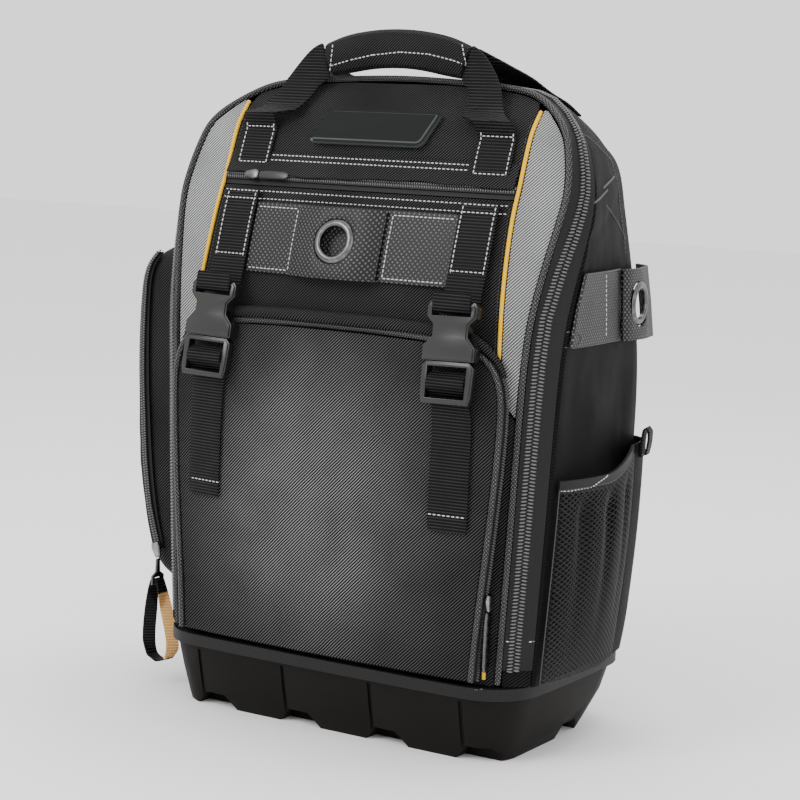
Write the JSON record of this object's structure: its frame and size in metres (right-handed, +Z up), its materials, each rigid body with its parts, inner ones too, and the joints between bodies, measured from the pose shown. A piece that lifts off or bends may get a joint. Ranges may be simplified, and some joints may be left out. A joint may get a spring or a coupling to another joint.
{
  "type": "tool backpack",
  "caption": "Soft tool backpack on a moulded base tray, with a domed front pocket, deep side pocket, net side pocket, buckled straps, zips and a carry handle.",
  "frame": {"origin": "on the floor under the centre of the moulded base, on its flat underside", "axes": "+Z up, -Y the way the front pocket faces, +X to the right as seen from the front"},
  "size_m": [0.4371, 0.2896, 0.557],
  "materials": {
    "black_twill": "matt diagonal weave, black with dark grey threads",
    "silver_twill": "matt diagonal weave, silver grey",
    "yellow_piping": "matt woven piping",
    "grey_cord": "corded edge binding, black and dark grey",
    "black_webbing": "ribbed woven webbing",
    "zip_tape": "woven tape with a nylon coil",
    "moulded_base": "fine matt moulded texture",
    "buckle_plastic": "satin moulded plastic",
    "gunmetal": "dark polished plating",
    "badge_rubber": "matt moulded patch, bare",
    "black_net": "open knitted net"
  },
  "bodies": {
    "pack": {"back_pad": "black_twill", "badge": "badge_rubber", "base_tray": "moulded_base", "body_shell": "black_twill", "edge_welt": "grey_cord", "front_band": "black_webbing", "front_eyelet": "gunmetal", "front_loop": "black_webbing", "front_panel": "black_twill", "front_pocket": "black_twill", "handle_back_left": "black_webbing", "handle_back_right": "black_webbing", "handle_grip": "black_twill", "handle_leg_left": "black_webbing", "handle_leg_right": "black_webbing", "hem": "black_webbing", "lower_web_left": "black_webbing", "lower_web_right": "black_webbing", "main_zip": "zip_tape", "mesh_binding": "black_webbing", "mesh_gusset": "black_twill", "mesh_loop": "black_webbing", "mesh_net": "black_net", "piping_end_left": "yellow_piping", "piping_end_right": "yellow_piping", "piping_left": "yellow_piping", "piping_right": "yellow_piping", "plug_left": "buckle_plastic", "plug_right": "buckle_plastic", "pocket_slider": "gunmetal", "pocket_welt": "grey_cord", "pocket_zip": "zip_tape", "shoulder_strap_left": "black_twill", "shoulder_strap_right": "black_twill", "side_band": "black_webbing", "side_eyelet": "gunmetal", "side_hoop": "black_webbing", "side_loop": "black_webbing", "side_panel_left": "silver_twill", "side_panel_right": "silver_twill", "side_pocket": "black_twill", "side_pocket_zip": "zip_tape", "side_pull": "gunmetal", "side_slider": "gunmetal", "socket_left": "buckle_plastic", "socket_right": "buckle_plastic", "strap_left": "black_webbing", "strap_right": "black_webbing", "tail_left": "black_webbing", "tail_right": "black_webbing", "upper_panel": "black_twill", "upper_slider": "gunmetal", "upper_zip": "zip_tape", "zip_tab_left": "black_twill", "zip_tab_right": "black_twill"},
    "upper_zip_pull": {"upper_pull": "buckle_plastic"},
    "pocket_zip_pull": {"pocket_pull": "buckle_plastic"}
  },
  "joints": [
    {"name": "upper_pull_hinge", "type": "hinge", "parent": "pack", "child": "upper_zip_pull", "pos_m": [-0.09628, -0.09184, 0.43756], "axis": [-0.0161, -0.3621, -0.932], "range_deg": [0, 120]},
    {"name": "pocket_pull_hinge", "type": "hinge", "parent": "pack", "child": "pocket_zip_pull", "pos_m": [0.14413, -0.11855, 0.1191], "axis": [0, -1, 0], "range_deg": [0, 120]}
  ]
}
